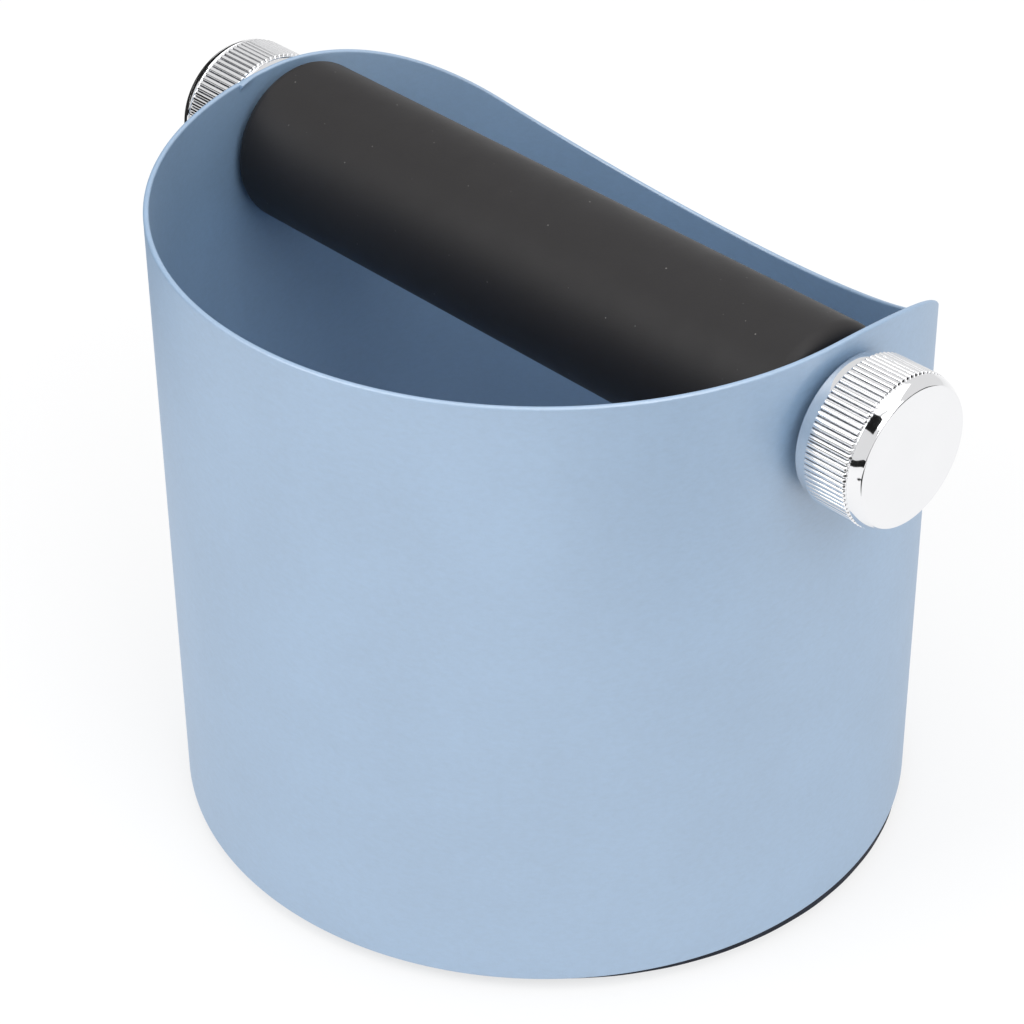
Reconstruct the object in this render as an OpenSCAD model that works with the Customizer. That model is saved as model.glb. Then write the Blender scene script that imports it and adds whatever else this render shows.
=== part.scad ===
// Espresso knock box: a round drum rolled and welded from one coated sheet, open at the top,
// with a scooped rim on one side, a rubber knock bar across the mouth and two screw knobs.
// The drum's axis is Z and it stands on Z = 0. The bar runs along X, the scoop faces +Y.

/* [Drum] */
// Outside diameter of the drum
drum_d = 160; // [130:1:200]
// Height of the level rim above the drum's lower edge
drum_h = 140; // [115:1:170]
// Thickness of the sheet with its coat
sheet_t = 1.2; // [0.8:0.1:1.6]

/* [Scoop] */
// Slope of the scooped side below level, in degrees
scoop_angle = 44; // [30:1:46]
// Radius of the bend from the level rim into the slope
scoop_bend = 75.6; // [50:0.1:80]
// Distance from the drum's axis at which the slope would reach rim level
scoop_start = 27.3; // [22:0.1:40]
// Turn of the scoop from square with the bar, in degrees
scoop_turn = 0.7; // [0:0.1:3]

/* [Base] */
// Height of the rubber pad that shows below the drum
pad_h = 3; // [2:0.5:5]
// How far the pad's edge stands back from the drum's outside
pad_inset = 4.7; // [4:0.1:4.8]
// How far the pad is glued off centre
pad_shift = 3.8; // [0:0.1:3.9]
// Direction of that shift, in degrees from the right knob towards the scoop
pad_turn = 30; // [0:1:90]
// How far the pad's plug stands back from the skirt of the floor pan
plug_inset = 6.4; // [6.4:0.1:12]
// Depth of the down-turned skirt of the floor pan
skirt_h = 4.2; // [3:0.1:8]
// Radius of the bend between the floor and its skirt
pan_bend = 2; // [1.7:0.1:2.8]
// Number of grip grooves under the pad
groove_count = 4; // [2:1:6]
// Width of each grip groove
groove_w = 2; // [1:0.5:3]
// Depth of each grip groove
groove_depth = 0.8; // [0.4:0.1:1.2]

/* [Knock bar] */
// Outside diameter of the rubber sleeve
bar_d = 36; // [28:0.5:44]
// Depth of the bar's axis below the level rim
bar_drop = 17.6; // [16:0.1:30]
// Rounding at the ends of the rubber sleeve
bar_edge = 3; // [1:0.5:4]
// Thickness of the rubber
rubber_t = 4; // [3:0.5:5]
// Wall of the steel core tube
core_t = 2; // [1:0.5:2.5]
// Length of each bush inside the core tube
bar_bush_l = 16; // [10:1:25]
// Thickness of the flange of each bush in the bar
bar_bush_flange = 1.5; // [1:0.1:2]
// Depth of that flange inside the end of the rubber
flange_depth = 0.5; // [0.3:0.1:1]

/* [Rod and spacer] */
// Thread diameter of the through rod
rod_d = 8; // [6:0.1:10]
// Wall of the spacer tube on the rod
spacer_t = 2; // [1.5:0.1:2.5]
// Flange diameter of each bush in the drum wall
wall_flange_d = 18; // [16:0.5:20]
// Thinnest place in the flange of each bush in the drum wall
wall_flange_min = 0.7; // [0.5:0.1:1]
// Chamfer at the ends of the rod
rod_chamfer = 0.8; // [0.3:0.1:1]

/* [Knobs] */
// Diameter over the knurl
knob_d = 32; // [26:0.5:40]
// Length of the knob from its collar to its face
knob_l = 16; // [14:0.5:22]
// Width of the smooth conical collar next to the drum
collar_w = 2.8; // [2:0.1:4]
// How far the collar's back edge stands below the knurl
collar_step = 1; // [0.7:0.1:1.5]
// Step from the grooves of the knurl down to the collar's front edge
collar_lip = 0.2; // [0.1:0.05:0.3]
// Width of the smooth shoulder next to the face
shoulder_w = 2.9; // [2:0.1:4]
// How far the shoulder slopes in to the face
shoulder_step = 1.3; // [0.5:0.1:2]
// Number of ridges round the knurl
knurl_count = 80; // [40:1:100]
// Depth of the knurl
knurl_depth = 0.5; // [0.2:0.05:0.7]
// Length of rod that is screwed into each knob
thread_l = 10; // [8:0.5:11]
// Diameter of the threaded insert
insert_d = 12.6; // [12.4:0.1:14]
// Depth of the insert below the knob's collar
insert_depth = 0.5; // [0.3:0.1:1]
// How far the insert runs past the end of the rod
insert_extra = 2; // [1:0.5:2.5]
// Chamfer round the knob's face
edge_break = 0.4; // [0.2:0.1:0.6]
// Diameter of the saddle washer behind each knob
washer_d = 22; // [18:0.5:25]
// Distance from the drum's side to the knob's collar
knob_gap = 1.7; // [1.2:0.1:3]

/* [Clearances] */
// Radial clearance of a part that runs on a shaft or a thread
run_fit = 0.05; // [0.02:0.01:0.1]
// Gap between parts that move past each other
free_gap = 0.3; // [0.3:0.05:0.5]
// Smallest gap between the rubber sleeve and the drum wall
sleeve_gap = 0.7; // [0.5:0.1:1.5]
// End play between the sleeve and the bushes in the wall
end_play = 0.8; // [0.4:0.1:1.2]
// Gap between a knob's collar and its washer
washer_gap = 0.1; // [0.1:0.05:0.2]

/* [Hidden] */
$fn = 180;
fine = 720; // facets of a cutter that follows the side of the drum
over = 1; // extra length of a cutter past the face that it cuts

// drum
drum_r = drum_d / 2;
inner_r = drum_r - sheet_t;
skirt_r = inner_r - sheet_t;
rim_z = pad_h + drum_h;
axis_z = rim_z - bar_drop;
bend_reach = scoop_bend * tan(scoop_angle / 2);
bend_y = scoop_start - bend_reach;
bend_steps = 44;
far_y = drum_r + over;
far_z = rim_z - (far_y - scoop_start) * tan(scoop_angle);

// base
floor_top = pad_h + skirt_h;
floor_under = floor_top - sheet_t;
pad_r = drum_r - pad_inset;
plug_r = skirt_r - plug_inset;
groove_pitch = pad_r / (groove_count + 1);

// rod, spacer and bushes in the wall
rod_r = rod_d / 2;
spacer_r = rod_r + run_fit + spacer_t;
wall_hole_r = spacer_r;
wall_flange_r = wall_flange_d / 2;

// knock bar
bar_r = bar_d / 2;
core_r = bar_r - rubber_t;
core_bore_r = core_r - core_t;
corner_reach = sqrt(pow(inner_r - sleeve_gap - bar_edge, 2) - pow(bar_r - bar_edge, 2));
flange_reach = sqrt(pow(inner_r, 2) - pow(wall_flange_r, 2)) - wall_flange_min - end_play;
bar_half = min(corner_reach + bar_edge, flange_reach);
wall_flange_x = bar_half + end_play;
bar_flange_x = bar_half - flange_depth - bar_bush_flange;

// knobs, measured outwards from the collar's back
knob_x = drum_r + knob_gap;
knob_r = knob_d / 2;
root_r = knob_r - knurl_depth;
collar_r = knob_r - collar_step;
face_r = knob_r - shoulder_step;
knurl_end = knob_l - shoulder_w;
insert_r = insert_d / 2;
insert_l = thread_l + insert_extra;
rod_half = knob_x + insert_depth + thread_l;

// Turns a part drawn along +Z so that it lies along +X on the bar's axis.
module on_axis() translate([0, 0, axis_z]) rotate([0, 90, 0]) children();

// Puts a part drawn at the +X end on the left end too.
module at_left() mirror([1, 0, 0]) children();

module ring(r_out, r_in, h) {
    difference() {
        cylinder(r = r_out, h = h);
        translate([0, 0, -over]) cylinder(r = r_in, h = h + 2 * over);
    }
}

// A point on the bend of the rim, by the angle that the rim has turned down.
function bend_point(angle) =
    [bend_y + scoop_bend * sin(angle), rim_z - scoop_bend * (1 - cos(angle))];

// Side view of the drum: level rim, round bend, straight slope.
module rim_profile() {
    bend = [for (i = [bend_steps : -1 : 0]) bend_point(i * scoop_angle / bend_steps)];
    polygon(concat([[-far_y, 0], [far_y, 0], [far_y, far_z]], bend, [[-far_y, rim_z]]));
}

module drum() {
    color("#9db4d0") difference() {
        intersection() {
            translate([0, 0, pad_h]) ring(drum_r, inner_r, drum_h + over);
            rotate([0, 0, scoop_turn]) rotate([90, 0, 90]) translate([0, 0, -far_y])
                linear_extrude(2 * far_y) rim_profile();
        }
        // holes for the two wall bushes
        on_axis() translate([0, 0, -far_y]) cylinder(r = wall_hole_r, h = 2 * far_y);
    }
}

module floor_pan() {
    color("#9db4d0") translate([0, 0, pad_h]) rotate_extrude() difference() {
        union() {
            square([inner_r - pan_bend, skirt_h]);
            square([inner_r, skirt_h - pan_bend]);
            translate([inner_r - pan_bend, skirt_h - pan_bend]) circle(r = pan_bend);
        }
        square([inner_r - pan_bend, skirt_h - sheet_t]);
        square([skirt_r, skirt_h - pan_bend]);
        translate([inner_r - pan_bend, skirt_h - pan_bend]) circle(r = pan_bend - sheet_t);
    }
}

module base_pad() {
    color("#1c222e") {
        rotate([0, 0, pad_turn]) translate([pad_shift, 0, 0]) difference() {
            cylinder(r = pad_r, h = pad_h);
            for (i = [1 : groove_count])
                translate([0, 0, -over])
                    ring(i * groove_pitch + groove_w / 2, i * groove_pitch - groove_w / 2,
                         groove_depth + over);
        }
        translate([0, 0, pad_h]) cylinder(r = plug_r, h = floor_under - pad_h);
    }
}

module bar_sleeve() {
    color("#2b2a2b") on_axis() difference() {
        rotate_extrude() {
            translate([0, -bar_half]) square([bar_r - bar_edge, 2 * bar_half]);
            translate([0, bar_edge - bar_half]) square([bar_r, 2 * (bar_half - bar_edge)]);
            for (end = [-1, 1])
                translate([bar_r - bar_edge, end * (bar_half - bar_edge)]) circle(r = bar_edge);
        }
        translate([0, 0, -bar_half - over]) cylinder(r = core_r, h = 2 * (bar_half + over));
    }
}

module bar_core_tube() {
    color("#a9adb2") on_axis() translate([0, 0, -bar_flange_x])
        ring(core_r, core_bore_r, 2 * bar_flange_x);
}

module bar_bush() {
    color("#e9e7df") on_axis() difference() {
        union() {
            translate([0, 0, bar_flange_x - bar_bush_l]) cylinder(r = core_bore_r, h = bar_bush_l);
            translate([0, 0, bar_flange_x]) cylinder(r = core_r, h = bar_bush_flange);
        }
        translate([0, 0, bar_flange_x - bar_bush_l - over])
            cylinder(r = spacer_r + run_fit, h = bar_bush_l + bar_bush_flange + 2 * over);
    }
}

module spacer_tube() {
    color("#a9adb2") on_axis() translate([0, 0, -wall_flange_x])
        ring(spacer_r, rod_r + run_fit, 2 * wall_flange_x);
}

module through_rod() {
    color("#b9bcc0") on_axis() {
        translate([0, 0, rod_chamfer - rod_half]) cylinder(r = rod_r, h = 2 * (rod_half - rod_chamfer));
        translate([0, 0, rod_half - rod_chamfer])
            cylinder(r1 = rod_r, r2 = rod_r - rod_chamfer, h = rod_chamfer);
        translate([0, 0, -rod_half])
            cylinder(r1 = rod_r - rod_chamfer, r2 = rod_r, h = rod_chamfer);
    }
}

// Bush at the +X end. Its flange is shaped to the inside of the drum.
module wall_bush() {
    barrel_end = sqrt(pow(drum_r, 2) - pow(wall_hole_r, 2));
    color("#e9e7df") difference() {
        union() {
            intersection() {
                on_axis() translate([0, 0, wall_flange_x])
                    cylinder(r = wall_flange_r, h = drum_r - wall_flange_x);
                cylinder(r = inner_r, h = rim_z + bar_d, $fn = fine);
            }
            on_axis() translate([0, 0, wall_flange_x])
                cylinder(r = wall_hole_r, h = barrel_end - wall_flange_x);
        }
        on_axis() translate([0, 0, wall_flange_x - over])
            cylinder(r = rod_r + run_fit, h = drum_r - wall_flange_x + 2 * over);
    }
}

// Washer at the +X end. Its back is a saddle that follows the drum's side.
module saddle_washer() {
    color("#1f2023") difference() {
        on_axis() translate([0, 0, inner_r - washer_d / 4])
            ring(washer_d / 2, rod_r + free_gap, knob_x - washer_gap - inner_r + washer_d / 4);
        cylinder(r = drum_r + free_gap, h = rim_z + bar_d, $fn = fine);
    }
}

// Outline of the knurl: a ridge and a groove in turn.
module knurl_outline() {
    step = 180 / knurl_count;
    polygon([for (i = [0 : 2 * knurl_count - 1])
        (i % 2 == 0 ? knob_r : root_r) * [cos(i * step), sin(i * step)]]);
}

module knob() {
    color("#d9dbde") on_axis() translate([0, 0, knob_x]) difference() {
        union() {
            cylinder(r1 = collar_r, r2 = root_r - collar_lip, h = collar_w);
            translate([0, 0, collar_w]) linear_extrude(knurl_end - collar_w) knurl_outline();
            translate([0, 0, knurl_end - edge_break])
                cylinder(r1 = root_r, r2 = face_r, h = shoulder_w);
            translate([0, 0, knob_l - edge_break])
                cylinder(r1 = face_r, r2 = face_r - edge_break, h = edge_break);
        }
        translate([0, 0, -over]) cylinder(r = insert_r, h = insert_depth + insert_l + over);
    }
}

module knob_insert() {
    color("#b9975b") on_axis() translate([0, 0, knob_x + insert_depth])
        ring(insert_r, rod_r + run_fit, insert_l);
}

drum();
floor_pan();
base_pad();
bar_sleeve();
bar_core_tube();
at_left() bar_bush();  // bar_bush_left
bar_bush();  // bar_bush_right
spacer_tube();
through_rod();
at_left() wall_bush();  // wall_bush_left
wall_bush();  // wall_bush_right
at_left() saddle_washer();  // saddle_washer_left
saddle_washer();  // saddle_washer_right
at_left() knob();  // knob_left
knob();  // knob_right
at_left() knob_insert();  // knob_insert_left
knob_insert();  // knob_insert_right
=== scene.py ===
import math

import bpy
from mathutils import Matrix, Vector


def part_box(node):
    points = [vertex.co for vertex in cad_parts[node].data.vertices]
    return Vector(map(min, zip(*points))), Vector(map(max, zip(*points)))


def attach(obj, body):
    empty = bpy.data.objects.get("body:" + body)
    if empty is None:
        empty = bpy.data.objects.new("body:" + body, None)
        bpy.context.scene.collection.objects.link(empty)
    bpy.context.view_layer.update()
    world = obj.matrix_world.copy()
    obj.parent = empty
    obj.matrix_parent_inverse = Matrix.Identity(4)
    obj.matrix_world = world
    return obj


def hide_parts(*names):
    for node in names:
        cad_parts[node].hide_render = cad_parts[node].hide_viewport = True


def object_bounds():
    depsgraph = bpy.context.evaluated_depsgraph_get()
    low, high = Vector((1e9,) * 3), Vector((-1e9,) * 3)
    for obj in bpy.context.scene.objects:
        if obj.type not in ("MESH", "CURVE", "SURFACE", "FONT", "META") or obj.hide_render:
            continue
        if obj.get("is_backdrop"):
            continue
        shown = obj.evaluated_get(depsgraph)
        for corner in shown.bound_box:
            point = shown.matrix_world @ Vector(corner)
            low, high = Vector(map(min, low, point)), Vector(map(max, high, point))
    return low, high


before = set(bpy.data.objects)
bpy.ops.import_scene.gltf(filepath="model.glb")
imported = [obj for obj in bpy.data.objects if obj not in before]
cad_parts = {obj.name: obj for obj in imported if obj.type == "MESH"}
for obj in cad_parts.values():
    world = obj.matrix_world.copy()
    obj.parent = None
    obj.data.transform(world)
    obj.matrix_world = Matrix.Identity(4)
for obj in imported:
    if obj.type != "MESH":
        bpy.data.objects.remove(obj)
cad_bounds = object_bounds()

# Lengths are in metres. The drum's axis is Z, the bar and the knobs lie along X.
MM = 0.001

# ---- sizes read from the frame ----
drum_low, drum_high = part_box("drum")
DRUM_R = drum_high.x
DRUM_FOOT = drum_low.z
RIM_Z = drum_high.z
INNER_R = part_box("floor_pan")[1].x
SHEET_T = DRUM_R - INNER_R

sleeve_low, sleeve_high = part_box("bar_sleeve")
AXIS_Z = (sleeve_low.z + sleeve_high.z) / 2
BAR_R = (sleeve_high.z - sleeve_low.z) / 2
BAR_HALF = sleeve_high.x
CORE_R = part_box("bar_core_tube")[1].z - AXIS_Z

knob_low, knob_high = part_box("knob_right")
KNOB_X = knob_low.x
KNOB_L = knob_high.x - knob_low.x
KNOB_R = knob_high.z - AXIS_Z
insert_low, insert_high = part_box("knob_insert_right")
INSERT_R = insert_high.z - AXIS_Z
INSERT_END = insert_high.x - KNOB_X

rod_low, rod_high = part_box("through_rod")
ROD_R = rod_high.z - AXIS_Z
ROD_HALF = rod_high.x

washer_low, washer_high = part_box("saddle_washer_right")
WASHER_R = washer_high.z - AXIS_Z
WASHER_FRONT = washer_high.x

pad_low, pad_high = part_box("base_pad")
PAD_SPARE = 0.4 * MM
PAD_R = (pad_high.y - pad_low.y) / 2 + PAD_SPARE
PAD_CENTRE = ((pad_high.x + pad_low.x) / 2, (pad_high.y + pad_low.y) / 2)
PAD_TOP = pad_high.z
PLUG_INSET = 6.4 * MM

# ---- sizes of the rim, as in the part ----
SCOOP_ANGLE = math.radians(44)
SCOOP_BEND = 75.6 * MM
SCOOP_START = 27.3 * MM
SCOOP_TURN = math.radians(0.7)
BEND_Y = SCOOP_START - SCOOP_BEND * math.tan(SCOOP_ANGLE / 2)
SLOPE_Y = BEND_Y + SCOOP_BEND * math.sin(SCOOP_ANGLE)

# ---- weld of the rolled sheet: angle in degrees from +X towards +Y, and the lip beside it ----
WELD_TURN = 190.6
LIP_SPAN = 4.2
LIP_DROP = 1.6 * MM
LIP_DEPTH = 1.1 * MM


def rim_height(x, y):
    """Height of the rim at a place on the drum's wall."""
    reach = y * math.cos(SCOOP_TURN) - x * math.sin(SCOOP_TURN)
    if reach <= BEND_Y:
        return RIM_Z
    if reach <= SLOPE_Y:
        return RIM_Z - SCOOP_BEND + math.sqrt(SCOOP_BEND ** 2 - (reach - BEND_Y) ** 2)
    return RIM_Z - (reach - SCOOP_START) * math.tan(SCOOP_ANGLE)


def smooth_step(low, high, value):
    """0 below low, 1 above high, and a soft S between them."""
    t = min(max((value - low) / (high - low), 0), 1)
    return t * t * (3 - 2 * t)


def spread(low, high, count):
    """count + 1 evenly spaced values from low to high."""
    return [low + (high - low) * i / count for i in range(count + 1)]


def corner(centre, radius, start, end, steps=6):
    """Points of a rounded corner, by the angles in degrees at which it starts and ends."""
    return [(centre[0] + radius * math.cos(math.radians(a)),
             centre[1] + radius * math.sin(math.radians(a)))
            for a in spread(start, end, steps)]


# ---- mesh building ----
def mesh_piece(name, verts, faces, material, crease=35):
    """A mesh object with smooth shading and sharp edges above the crease angle."""
    mesh = bpy.data.meshes.new(name)
    mesh.from_pydata(verts, [], faces)
    mesh.validate()
    mesh.shade_smooth()
    mesh.set_sharp_from_angle(angle=math.radians(crease))
    piece = bpy.data.objects.new(name, mesh)
    bpy.context.scene.collection.objects.link(piece)
    mesh.materials.append(material)
    return piece


def grid_faces(rows, columns, wrap_rows, wrap_columns):
    """Quads of a grid of rows by columns, closed in either direction if asked."""
    faces = []
    for i in range(rows if wrap_rows else rows - 1):
        for j in range(columns if wrap_columns else columns - 1):
            a, b = i * columns, (i + 1) % rows * columns
            k = (j + 1) % columns
            faces.append((a + j, a + k, b + k, b + j))
    return faces


def lathe(name, profile, material, steps, place, wobble=None, crease=35):
    """Turns a profile of (radius, height) points into a closed mesh.

    A first or last point of radius 0 closes the piece with a fan of triangles. place() puts a
    point (along, across, up) in the frame, and wobble() changes a radius by its angle.
    """
    verts, faces, rings = [], [], []
    for radius, height in profile:
        if radius == 0:
            rings.append([len(verts)])
            verts.append(place(0, 0, height))
            continue
        ring = []
        for j in range(steps):
            turn = 2 * math.pi * j / steps
            r = wobble(radius, height, turn) if wobble else radius
            ring.append(len(verts))
            verts.append(place(r * math.cos(turn), r * math.sin(turn), height))
        rings.append(ring)
    closed = len(rings[0]) > 1
    pairs = list(zip(rings, rings[1:])) + ([(rings[-1], rings[0])] if closed else [])
    for low, high in pairs:
        for j in range(steps):
            k = (j + 1) % steps
            if len(low) == 1:
                faces.append((low[0], high[k], high[j]))
            elif len(high) == 1:
                faces.append((low[j], low[k], high[0]))
            else:
                faces.append((low[j], low[k], high[k], high[j]))
    return mesh_piece(name, verts, faces, material, crease)


def along_bar(side=1):
    """Place for a lathe on the bar's axis. Side is 1 at the right and -1 at the left."""
    def place(a, b, height):
        return (side * height, -side * a, AXIS_Z + b)
    return place


def even_normals(piece):
    """Keeps large flat faces flat beside small rounded edges."""
    modifier = piece.modifiers.new("even_normals", "WEIGHTED_NORMAL")
    modifier.keep_sharp = True
    modifier.weight = 60


# ---- materials ----
class Nodes:
    """A material's node tree with short calls for the nodes that are used here."""

    def __init__(self, name):
        self.material = bpy.data.materials.new(name)
        self.material.use_nodes = True
        self.tree = self.material.node_tree
        self.shader = self.tree.nodes["Principled BSDF"]
        coordinates = self.tree.nodes.new("ShaderNodeTexCoord")
        self.place = coordinates.outputs["Object"]

    def link(self, source, target):
        self.tree.links.new(source, target)

    def noise(self, size, detail=3, roughness=0.5, stretch=(1, 1, 1)):
        """Noise whose features are about size across, in metres."""
        mapping = self.tree.nodes.new("ShaderNodeMapping")
        mapping.inputs["Scale"].default_value = stretch
        self.link(self.place, mapping.inputs["Vector"])
        node = self.tree.nodes.new("ShaderNodeTexNoise")
        node.inputs["Scale"].default_value = 1 / size
        node.inputs["Detail"].default_value = detail
        node.inputs["Roughness"].default_value = roughness
        self.link(mapping.outputs["Vector"], node.inputs["Vector"])
        return node.outputs["Fac"]

    def cells(self, size):
        """Distance to scattered points about size apart, in metres."""
        node = self.tree.nodes.new("ShaderNodeTexVoronoi")
        node.inputs["Scale"].default_value = 1 / size
        self.link(self.place, node.inputs["Vector"])
        return node.outputs["Distance"]

    def ramp(self, source, stops):
        """Maps a value to colours or levels at the given stops."""
        node = self.tree.nodes.new("ShaderNodeValToRGB")
        while len(node.color_ramp.elements) < len(stops):
            node.color_ramp.elements.new(0.5)
        for element, (position, colour) in zip(node.color_ramp.elements, stops):
            element.position = position
            level = (colour,) * 3 if isinstance(colour, (int, float)) else colour
            element.color = (*level, 1)
        self.link(source, node.inputs["Fac"])
        return node.outputs["Color"]

    def math(self, operation, a, b):
        """A sum or product of two values, each a number or another node's output."""
        node = self.tree.nodes.new("ShaderNodeMath")
        node.operation = operation
        for socket, value in zip(node.inputs, (a, b)):
            if isinstance(value, (int, float)):
                socket.default_value = value
            else:
                self.link(value, socket)
        return node.outputs["Value"]

    def bump(self, height, distance, strength, under=None):
        """Bump from a height, with its full depth in metres."""
        node = self.tree.nodes.new("ShaderNodeBump")
        node.inputs["Distance"].default_value = distance
        node.inputs["Strength"].default_value = strength
        self.link(height, node.inputs["Height"])
        if under is not None:
            self.link(under, node.inputs["Normal"])
        return node.outputs["Normal"]

    def set(self, **values):
        """Sets the shader's sockets. Underscores stand for spaces."""
        for key, value in values.items():
            socket = self.shader.inputs[key.replace("_", " ")]
            if isinstance(value, bpy.types.NodeSocket):
                self.link(value, socket)
            else:
                socket.default_value = (*value, 1) if isinstance(value, tuple) else value


def shades(colour, *levels):
    """The colour at several brightness levels."""
    return [tuple(level * c for c in colour) for level in levels]


def powder_coat():
    """Satin powder coat: an even blue with fine orange peel and a faint drift of tone."""
    n = Nodes("powder_coat")
    dark, light = shades((0.192, 0.318, 0.484), 0.93, 1.06)
    drift = n.noise(26 * MM, 4)
    mottle = n.noise(0.8 * MM, 3, 0.6, (0.45, 0.45, 1))
    tone = n.ramp(n.math("ADD", n.math("MULTIPLY", drift, 0.45), n.math("MULTIPLY", mottle, 0.55)),
                  [(0.35, dark), (0.65, light)])
    peel = n.bump(mottle, 0.05 * MM, 0.6)
    grain = n.bump(n.noise(0.34 * MM, 2, 0.6), 0.02 * MM, 0.6, peel)
    gloss = n.ramp(n.noise(0.5 * MM, 2), [(0.3, 0.46), (0.7, 0.54)])
    n.set(Base_Color=tone, Roughness=gloss, IOR=2.05, Specular_IOR_Level=1.0, Normal=grain)
    return n.material


def bar_rubber():
    """Charcoal rubber: fine moulded grain, faint rubbed patches and specks of dust."""
    n = Nodes("bar_rubber")
    black = (0.0085, 0.0072, 0.0078)
    dark, light = shades(black, 0.93, 1.07)
    tone = n.ramp(n.noise(9 * MM, 5, 0.6), [(0.3, dark), (0.7, light)])
    speck = n.ramp(n.cells(3.4 * MM), [(0.035, 1.0), (0.055, 0.0)])
    patchy = n.ramp(n.noise(16 * MM, 2), [(0.44, 0.0), (0.58, 1.0)])
    mix = n.tree.nodes.new("ShaderNodeMix")
    mix.data_type = "RGBA"
    n.link(n.math("MULTIPLY", n.math("MULTIPLY", speck, patchy), 0.5), mix.inputs["Factor"])
    n.link(tone, mix.inputs["A"])
    mix.inputs["B"].default_value = (0.30, 0.29, 0.28, 1)
    gloss = n.ramp(n.noise(7 * MM, 4), [(0.3, 0.53), (0.7, 0.58)])
    grain = n.bump(n.noise(0.45 * MM, 3, 0.6), 0.03 * MM, 0.6)
    n.set(Base_Color=mix.outputs["Result"], Roughness=gloss, Specular_IOR_Level=0.42,
          Normal=grain)
    return n.material


def pad_rubber():
    """Near-black moulded rubber of the base pad, with a coarse grain."""
    n = Nodes("pad_rubber")
    dark, light = shades((0.012, 0.015, 0.026), 0.7, 1.3)
    tone = n.ramp(n.noise(3 * MM, 4), [(0.3, dark), (0.7, light)])
    grain = n.bump(n.noise(0.7 * MM, 3, 0.6), 0.08 * MM, 0.8)
    n.set(Base_Color=tone, Roughness=0.75, Specular_IOR_Level=0.3, Normal=grain)
    return n.material


def chrome():
    """Bright chrome plate with a trace of haze and polishing marks."""
    n = Nodes("chrome_plate")
    haze = n.ramp(n.noise(5 * MM, 4), [(0.35, 0.045), (0.7, 0.075)])
    marks = n.bump(n.noise(2.2 * MM, 2), 0.004 * MM, 0.35)
    tone = n.ramp(n.noise(12 * MM, 2), [(0.3, (0.855, 0.857, 0.870)), (0.7, (0.872, 0.874, 0.887))])
    n.set(Base_Color=tone, Metallic=1.0, Roughness=haze, Normal=marks)
    return n.material


def groove_shade_chrome():
    """Thin, dull plating at the bottom of the knurl's grooves; its dark base colour is painted
    shade for the hollows of the grooves.
    """
    n = Nodes("groove_shade_chrome")
    tone = n.ramp(n.noise(1.5 * MM, 3), [(0.3, (0.30, 0.31, 0.33)), (0.7, (0.52, 0.53, 0.55))])
    gloss = n.ramp(n.noise(1.0 * MM, 2), [(0.3, 0.18), (0.7, 0.30)])
    n.set(Base_Color=tone, Metallic=1.0, Roughness=gloss)
    return n.material


def turned_metal(name, colour, roughness):
    """Machined metal with fine marks round the bar's axis."""
    n = Nodes(name)
    marks = n.noise(0.5 * MM, 3, 0.6, (4, 0.3, 0.3))
    dark, light = shades(colour, 0.88, 1.08)
    tone = n.ramp(marks, [(0.3, dark), (0.7, light)])
    gloss = n.ramp(marks, [(0.3, roughness - 0.06), (0.7, roughness + 0.08)])
    n.set(Base_Color=tone, Metallic=1.0, Roughness=gloss, Normal=n.bump(marks, 0.01 * MM, 0.5))
    return n.material


def moulded_plastic(name, colour):
    """Moulded nylon with a fine spark-eroded grain."""
    n = Nodes(name)
    dark, light = shades(colour, 0.93, 1.04)
    tone = n.ramp(n.noise(5 * MM, 3), [(0.3, dark), (0.7, light)])
    n.set(Base_Color=tone, Roughness=0.5, Normal=n.bump(n.noise(0.4 * MM, 2), 0.02 * MM, 0.6))
    return n.material


COAT = powder_coat()
BAR_RUBBER = bar_rubber()
PAD_RUBBER = pad_rubber()
CHROME = chrome()
# dull chrome whose dark colour paints shade into the knurl's grooves
GROOVE_SHADE_CHROME = groove_shade_chrome()
STEEL = turned_metal("plain_steel", (0.56, 0.57, 0.58), 0.3)
BRASS = turned_metal("insert_brass", (0.66, 0.48, 0.21), 0.28)
WHITE_NYLON = moulded_plastic("white_nylon", (0.78, 0.77, 0.72))
# black nylon for the washers, dark so that it also stands for the shade in the gap behind the knobs
BLACK_NYLON_GAP_SHADE = moulded_plastic("black_nylon_gap_shade", (0.018, 0.018, 0.02))


# ---- drum ----
def weld_lip(turn, drop):
    """How far the sheet's inside stands in, by its angle and its depth below the rim."""
    gap = (WELD_TURN - turn) % 360
    along = max(1 - gap / LIP_SPAN, 0) ** 1.3
    return LIP_DEPTH * along * (1 - smooth_step(0, LIP_DROP, drop))


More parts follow.
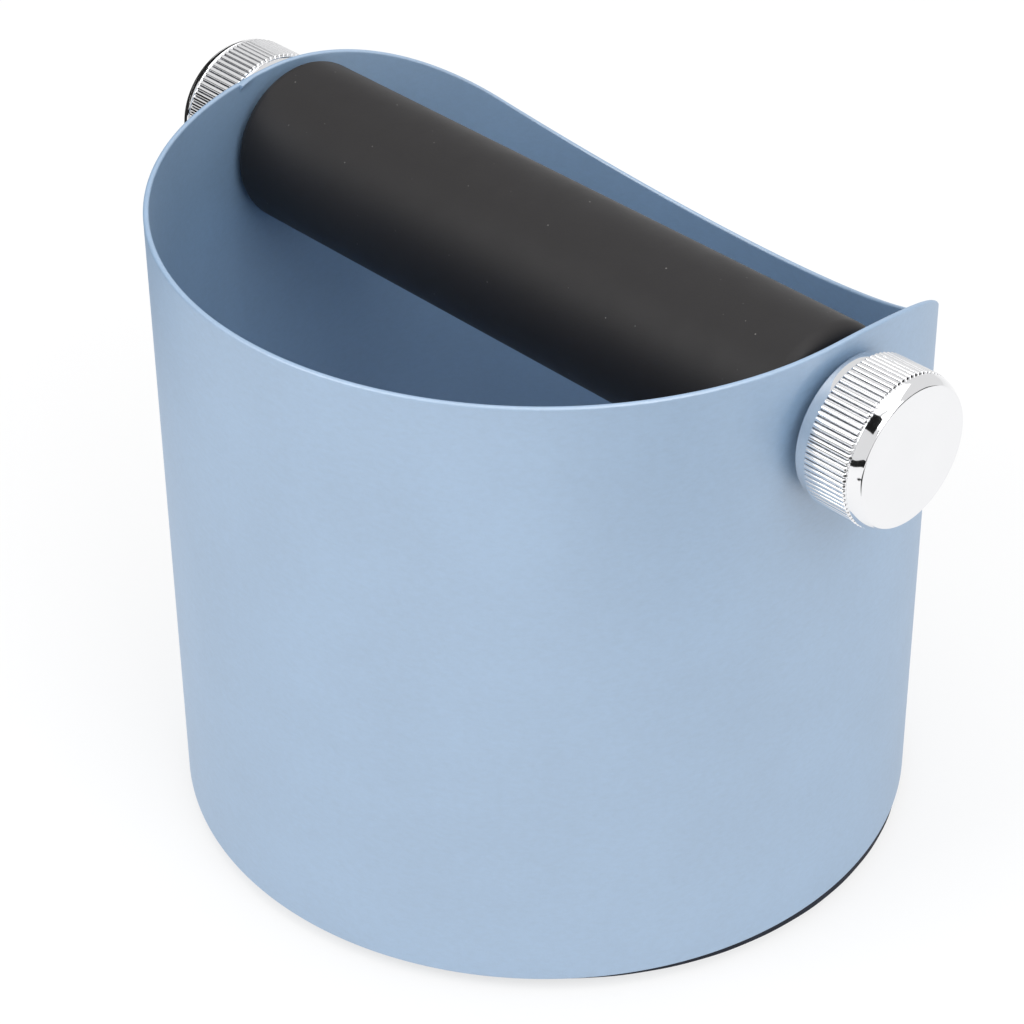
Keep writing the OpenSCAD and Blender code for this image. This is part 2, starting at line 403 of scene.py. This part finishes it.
def make_drum():
    """Rolled sheet with rounded edges and a small lip at the rim where it is welded."""
    edge = 0.5 * MM
    half = SHEET_T / 2
    rows = [0, 0.02] + spread(0.05, 0.95, 30) + spread(0.955, 1, 10)
    # section points: distance from the sheet's middle, share of the height, rise above that
    section = [(half, f, 0) for f in rows]
    section += [(u, 1, v) for u, v in corner((half - edge, 0), edge, 0, 90)[1:]]
    section += [(u, 1, v) for u, v in corner((edge - half, 0), edge, 90, 180)]
    section += [(-half, f, 0) for f in reversed(rows)][1:]
    section += [(u, 0, v) for u, v in corner((edge - half, 0), edge, 180, 270)[1:]]
    section += [(u, 0, v) for u, v in corner((half - edge, 0), edge, 270, 360)[:-1]]

    seam = 0.06
    turns = spread(WELD_TURN + seam - 360, WELD_TURN - LIP_SPAN, 355)
    turns += spread(WELD_TURN - LIP_SPAN, WELD_TURN, 20)[1:]
    verts = []
    for turn in turns:
        a = math.radians(turn)
        top = rim_height(DRUM_R * math.cos(a), DRUM_R * math.sin(a))
        low, high = DRUM_FOOT + edge, top - edge
        for offset, share, rise in section:
            z = low + share * (high - low) + rise
            inward = (half - offset) / SHEET_T
            r = DRUM_R - half + offset - inward * weld_lip(turn, top - z)
            verts.append((r * math.cos(a), r * math.sin(a), z))
    faces = grid_faces(len(turns), len(section), True, True)
    faces = [tuple(reversed(f)) for f in faces]
    return mesh_piece("drum_shell", verts, faces, COAT, crease=50)


def drill(piece, radius):
    """Cuts the two holes for the wall bushes through the piece."""
    profile = [(0, -2 * DRUM_R), (radius, -2 * DRUM_R), (radius, 2 * DRUM_R), (0, 2 * DRUM_R)]
    cutter = lathe("hole_cutter", profile, COAT, 96, along_bar())
    modifier = piece.modifiers.new("holes", "BOOLEAN")
    modifier.operation = "DIFFERENCE"
    modifier.object = cutter
    modifier.solver = "EXACT"
    bpy.context.view_layer.update()
    cut = bpy.data.meshes.new_from_object(piece.evaluated_get(
        bpy.context.evaluated_depsgraph_get()))
    piece.modifiers.clear()
    piece.data = cut
    bpy.data.objects.remove(cutter)


# ---- knock bar ----
def make_bar():
    """Rubber sleeve with rounded ends, open where the core tube and the bushes sit."""
    edge = 3 * MM
    flat = BAR_HALF - edge
    right = corner((BAR_R - edge, flat), edge, 0, 90, 14)
    left = corner((BAR_R - edge, -flat), edge, 270, 360, 14)
    lip = 0.3 * MM
    inside_right = [(BAR_R - 2 * edge + lip, BAR_HALF), (CORE_R + lip, BAR_HALF),
                    (CORE_R, BAR_HALF - lip)]
    body = [(BAR_R, z) for z in spread(-flat, flat, 60)][1:-1]
    inside_left = [(CORE_R, lip - BAR_HALF), (CORE_R + lip, -BAR_HALF)]
    profile = inside_left + left + body + right + inside_right[1:]
    return lathe("bar_rubber_sleeve", profile, BAR_RUBBER, 192, along_bar())


# ---- rod ----
def make_rod():
    """Through rod with a rolled thread at each end."""
    pitch = 1.25 * MM
    depth = 0.65 * MM
    chamfer = 0.8 * MM
    thread_start = INNER_R - 3 * MM
    run_out = 1.5 * pitch

    def thread(radius, height, turn):
        if radius < ROD_R - chamfer * 0.999:
            return radius
        side = 1 if height > 0 else -1
        cut = smooth_step(thread_start, thread_start + run_out, abs(height))
        phase = (height * side / pitch - side * turn / (2 * math.pi)) % 1
        groove = 1 - abs(2 * phase - 1)
        root = ROD_R - depth * cut * min(1.15 * groove, 1)
        return min(radius, root)

    ends = spread(thread_start, ROD_HALF - chamfer, 130)
    tips = [(ROD_R - chamfer * f, ROD_HALF - chamfer + chamfer * f) for f in spread(0, 1, 6)][1:]
    half = [(ROD_R, z) for z in ends] + tips + [(0, ROD_HALF)]
    profile = [(r, -z) for r, z in reversed(half)] + half
    return lathe("threaded_rod", profile, STEEL, 48, along_bar(), thread, crease=60)


# ---- saddle washers ----
def make_washer(side):
    """Washer whose back follows the drum's side, in black nylon that also paints the shade in the
    gap between the knob and the drum.
    """
    hole = ROD_R + 0.3 * MM
    edge = 0.25 * MM
    gap = 0.3 * MM
    steps = 96

    def back(y):
        return math.sqrt((DRUM_R + gap) ** 2 - y * y)

    front_rows = [(hole + edge, 0), (WASHER_R - edge, 0)]
    front_rows += [(WASHER_R - edge + u, v - edge) for u, v in corner((0, 0), edge, 90, 0)]
    back_rows = [WASHER_R, WASHER_R - edge] + spread(WASHER_R - edge, hole, 8)[1:]
    verts = []
    for j in range(steps):
        turn = 2 * math.pi * j / steps
        a, b = math.cos(turn), math.sin(turn)
        ring = [(r, WASHER_FRONT + dx) for r, dx in front_rows]
        ring += [(r, back(r * a) + (edge if r == WASHER_R else 0)) for r in back_rows]
        ring += [(hole, WASHER_FRONT - edge)]
        verts += [(side * x, r * a, AXIS_Z + r * b) for r, x in ring]
    faces = grid_faces(steps, len(verts) // steps, True, True)
    if side < 0:
        faces = [tuple(reversed(f)) for f in faces]
    name = "saddle_washer_trim_right" if side > 0 else "saddle_washer_trim_left"
    return mesh_piece(name, verts, faces, BLACK_NYLON_GAP_SHADE)


# ---- knobs ----
KNURL_COUNT = 80
KNURL_DEPTH = 0.55 * MM
COLLAR_W = 2.8 * MM
COLLAR_R = KNOB_R - 1.0 * MM
COLLAR_RISE = 0.3 * MM
SHOULDER_W = 2.9 * MM
FACE_R = KNOB_R - 1.3 * MM


def knurl_height(x):
    """How much of the knurl stands at a distance x from the knob's back, from 0 to 1."""
    end = 0.4 * MM
    up = smooth_step(COLLAR_W, COLLAR_W + end, x)
    down = 1 - smooth_step(KNOB_L - SHOULDER_W - end, KNOB_L - SHOULDER_W, x)
    return min(up, down)


def ridge(radius, height, turn):
    """Radius of the knurl at an angle: broad rounded ridges with narrow grooves."""
    x = height - KNOB_X
    if not COLLAR_W <= x <= KNOB_L - SHOULDER_W:
        return radius
    phase = (turn * KNURL_COUNT / (2 * math.pi)) % 1
    groove = abs(2 * phase - 1) ** 4
    return KNOB_R - KNURL_DEPTH * (1 - knurl_height(x) * (1 - groove))


def make_knob(side):
    """Chrome knob: conical collar, straight knurl, sloped shoulder and flat face."""
    soft = 0.45 * MM
    fine = 0.28 * MM
    end = 0.6 * MM
    root = KNOB_R - KNURL_DEPTH
    knurl_end = KNOB_L - SHOULDER_W
    rows = [(0, INSERT_END), (INSERT_R, INSERT_END), (INSERT_R, fine), (INSERT_R + fine, 0)]
    rows += [(r, 0) for r in spread(INSERT_R + 2 * fine, COLLAR_R - soft - fine, 4)]
    rows += corner((COLLAR_R - soft, soft), soft, 270, 360)
    rows += [(COLLAR_R + COLLAR_RISE * x / COLLAR_W, x) for x in spread(soft, COLLAR_W, 5)][1:]
    knurl = spread(COLLAR_W, COLLAR_W + end, 6)
    knurl += spread(COLLAR_W + end, knurl_end - end, 8)[1:-1]
    knurl += spread(knurl_end - end, knurl_end, 6)
    rows += [(root, x) for x in knurl]
    # the shoulder rises from a fine groove beside the knurl, then slopes in to the face
    shoulder_r = KNOB_R - 0.22 * MM
    shoulder_start = 0.45 * MM
    rows += [(root, knurl_end + 0.12 * MM), (shoulder_r - 0.1 * MM, knurl_end + 0.25 * MM)]
    rows += [(shoulder_r, knurl_end + shoulder_start)]
    broad = 0.42 * MM
    top = (FACE_R - broad, KNOB_L - broad)
    lean = math.degrees(math.atan2(shoulder_r - FACE_R, SHOULDER_W - shoulder_start - broad))
    face_edge = corner(top, broad, lean, 90, 10)
    start = Vector((shoulder_r, knurl_end + shoulder_start))
    stop = Vector(face_edge[0])
    bulge = 0.16 * MM
    for f in spread(0, 1, 8)[1:-1]:
        point = start.lerp(stop, f)
        rows.append((point.x + bulge * math.sin(math.pi * f), point.y))
    rows += face_edge
    rows += [(r, KNOB_L) for r in spread(FACE_R - 2 * broad, FACE_R / 6, 5)]
    rows += [(0, KNOB_L)]
    profile = [(r, KNOB_X + x) for r, x in rows]
    name = "knob_chrome_right" if side > 0 else "knob_chrome_left"
    steps = KNURL_COUNT * 10
    knob = lathe(name, profile, CHROME, steps, along_bar(side), ridge, crease=40)
    paint_groove_shade(knob, side)
    return knob


def paint_groove_shade(knob, side):
    """Gives the bottoms of the knurl's grooves their duller plating, whose dark colour paints shade
    into them.
    """
    knob.data.materials.append(GROOVE_SHADE_CHROME)
    margin = 0.2 * MM
    groove_share = 0.1
    low, high = KNOB_X + COLLAR_W + margin, KNOB_X + KNOB_L - SHOULDER_W - margin
    for face in knob.data.polygons:
        centre = face.center
        turn = math.atan2(centre.z - AXIS_Z, -side * centre.y)
        phase = (turn * KNURL_COUNT / (2 * math.pi)) % 1
        outside = math.hypot(centre.y, centre.z - AXIS_Z) > KNOB_R - 1.2 * KNURL_DEPTH
        if outside and low < abs(centre.x) < high and min(phase, 1 - phase) < groove_share:
            face.material_index = 1


# ---- base pad ----
def make_pad():
    """Moulded pad, glued off centre: grip grooves, an uneven foot edge and a plug on top."""
    edge = 0.5 * MM
    grooves = 4
    pitch = PAD_R / (grooves + 1)
    groove = 1.0 * MM
    depth = 0.8 * MM
    soft = 0.2 * MM
    uneven = 0.12 * MM
    under = [(0, 0)]
    for i in range(1, grooves + 1):
        low, high = i * pitch - groove, i * pitch + groove
        under += [(low - soft, 0), (low, soft), (low, depth), (high, depth), (high, soft),
                  (high + soft, 0)]
    profile = under + [(PAD_R - 2 * edge, 0)] + corner((PAD_R - edge, edge), edge, 270, 360)
    profile += corner((PAD_R - soft, DRUM_FOOT - soft), soft, 0, 90, 3)
    plug_r = INNER_R - SHEET_T - PLUG_INSET
    profile += [(plug_r + soft, DRUM_FOOT), (plug_r, DRUM_FOOT + soft), (plug_r, PAD_TOP),
                (0, PAD_TOP)]

    def place(a, b, height):
        on_foot = height < DRUM_FOOT - 0.1 * soft or math.hypot(a, b) > plug_r + 2 * soft
        return (a + PAD_CENTRE[0] * on_foot, b + PAD_CENTRE[1] * on_foot, height)

    def wobble(radius, height, turn):
        if radius < PAD_R - 2 * edge:
            return radius
        wave = math.sin(7 * turn) + math.sin(17 * turn + 1) + math.sin(41 * turn + 2)
        return radius - uneven * (3 - wave) / 6

    return lathe("base_pad_rubber", profile, PAD_RUBBER, 360, place, wobble)


# ---- put the pieces on the frame ----
def fit_piece(piece, body, slot, *nodes):
    """Rides the piece on its body, in place of its CAD nodes; the slot argument is not used."""
    even_normals(piece)
    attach(piece, body)
    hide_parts(*nodes)


drum = make_drum()
drill(drum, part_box("spacer_tube")[1].z - AXIS_Z)
fit_piece(drum, "box", "coated_steel", "drum")
fit_piece(make_pad(), "box", "pad_rubber", "base_pad")
fit_piece(make_rod(), "box", "plain_steel", "through_rod")
fit_piece(make_bar(), "bar", "bar_rubber", "bar_sleeve")
for side, word in ((1, "right"), (-1, "left")):
    fit_piece(make_washer(side), f"washer_{word}", "washer_plastic", f"saddle_washer_{word}")
    fit_piece(make_knob(side), f"knob_{word}", "knob_chrome", f"knob_{word}")

KEPT_NODES = {
    "floor_pan": COAT, "bar_core_tube": STEEL, "spacer_tube": STEEL,
    "bar_bush_left": WHITE_NYLON, "bar_bush_right": WHITE_NYLON,
    "wall_bush_left": WHITE_NYLON, "wall_bush_right": WHITE_NYLON,
    "knob_insert_left": BRASS, "knob_insert_right": BRASS,
}
for node, material in KEPT_NODES.items():
    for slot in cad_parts[node].material_slots:
        slot.material = material


# ---- stage ----
def make_floor():
    """Pale studio sweep under the object."""
    size = 6
    verts = [(-size, -size, 0), (size, -size, 0), (size, size, 0), (-size, size, 0)]
    n = Nodes("studio_floor")
    tone = n.ramp(n.noise(0.4, 2), [(0.3, 0.245), (0.7, 0.255)])
    n.set(Base_Color=tone, Roughness=0.9, Specular_IOR_Level=0.1,
          Emission_Color=(1.0, 1.0, 1.0), Emission_Strength=0.685)
    floor = mesh_piece("floor", verts, [(0, 1, 2, 3)], n.material)
    floor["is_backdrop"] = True


def make_softbox(name, place, aim, size, power):
    """A rectangular area light at place, turned towards aim."""
    light = bpy.data.lights.new(name, "AREA")
    light.shape = "RECTANGLE"
    light.size, light.size_y = size
    light.energy = power
    lamp = bpy.data.objects.new(name, light)
    lamp.location = place
    lamp.rotation_euler = (Vector(aim) - Vector(place)).to_track_quat("-Z", "Y").to_euler()
    bpy.context.scene.collection.objects.link(lamp)


def make_flag(name, verts):
    """A black studio flag that shows in glossy reflections only.

    Its points are the lower edge from end to end, then the upper edge.
    """
    n = Nodes(name)
    tone = n.ramp(n.noise(0.2, 2), [(0.3, 0.008), (0.7, 0.014)])
    n.set(Base_Color=tone, Roughness=0.9, Specular_IOR_Level=0.1)
    count = len(verts) // 2
    faces = [(i, i + 1, count + i + 1, count + i) for i in range(count - 1)]
    flag = mesh_piece(name, verts, faces, n.material)
    flag.visible_camera = False
    flag.visible_diffuse = False
    flag.visible_shadow = False
    flag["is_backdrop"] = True


def make_flags():
    """Dark edges of the studio, which draw the thin black lines in the chrome."""
    ring_r = 1.2
    ring_low = 0.01

    def ring_part(name, start, end, top):
        turns = [math.radians(t) for t in spread(start, end, 24)]
        make_flag(name, [(ring_r * math.cos(t), ring_r * math.sin(t), z)
                         for z in (ring_low, top) for t in turns])

    ring_part("flag_front", 230, 375, 0.19)
    ring_part("flag_right_back", 12, 58, 0.60)
    ring_part("flag_left_back", 140, 230, 0.62)
    card_z = 0.002
    make_flag("flag_right", [(0.245, -0.30, card_z), (0.245, 0.02, card_z),
                             (0.50, -0.30, card_z), (0.50, 0.06, card_z)])
    make_flag("flag_left", [(-0.25, -0.16, card_z), (-0.25, 0.20, card_z),
                            (-1.15, -0.50, card_z), (-1.15, 0.40, card_z)])
    knob = Vector((KNOB_X, 0, AXIS_Z))
    reach = 0.9
    middle = Vector((0.30, -0.53, 0.79))
    long = Vector((0.33, 0.06, -0.08))
    wide = Vector((0.01, -0.17, -0.11))
    make_flag("flag_camera", [knob + reach * (middle + a * long + b * wide)
                              for a in (-1, 1) for b in (-1, 1)])


def make_world(strength):
    """Even white surroundings."""
    world = bpy.data.worlds.new("studio")
    bpy.context.scene.world = world
    world.use_nodes = True
    background = world.node_tree.nodes["Background"]
    background.inputs["Color"].default_value = (1.0, 1.0, 1.0, 1)
    background.inputs["Strength"].default_value = strength


def make_camera():
    """Camera with a long lens, above the front right and aimed at the drum's middle."""
    azimuth, elevation = math.radians(45.7), math.radians(35.24)
    distance = 8.6051 * DRUM_R
    target = Vector((0, 0, DRUM_FOOT + 0.75 * DRUM_R))
    back = Vector((math.sin(azimuth) * math.cos(elevation),
                   -math.cos(azimuth) * math.cos(elevation), math.sin(elevation)))
    data = bpy.data.cameras.new("camera")
    data.sensor_width = 36
    data.lens = 112.8
    data.shift_x = -0.0324
    data.shift_y = 0.0037
    data.clip_start = 0.01
    camera = bpy.data.objects.new("camera", data)
    camera.location = target + distance * back
    roll = Matrix.Rotation(math.radians(-0.15), 4, "Z")
    level = (-back).to_track_quat("-Z", "Y").to_matrix().to_4x4()
    camera.rotation_euler = (level @ roll).to_euler()
    bpy.context.scene.collection.objects.link(camera)
    bpy.context.scene.camera = camera


make_floor()
make_flags()
make_world(0.82)
make_softbox("top_softbox", (0.1, 0.1, 1.3), (0, 0, 0.1), (1.2, 1.2), 5)
make_softbox("right_softbox", (0.95, -0.25, 0.95), (-0.05, 0, 0.13), (0.7, 0.7), 6)
make_softbox("front_softbox", (-0.35, -1.0, 0.95), (0, 0, 0.12), (0.7, 0.7), 6)
make_camera()
bpy.context.scene.view_settings.view_transform = "Standard"

boxes = {"cad": cad_bounds, "visual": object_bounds()}
{name: [list(low), list(high)] for name, (low, high) in boxes.items()}
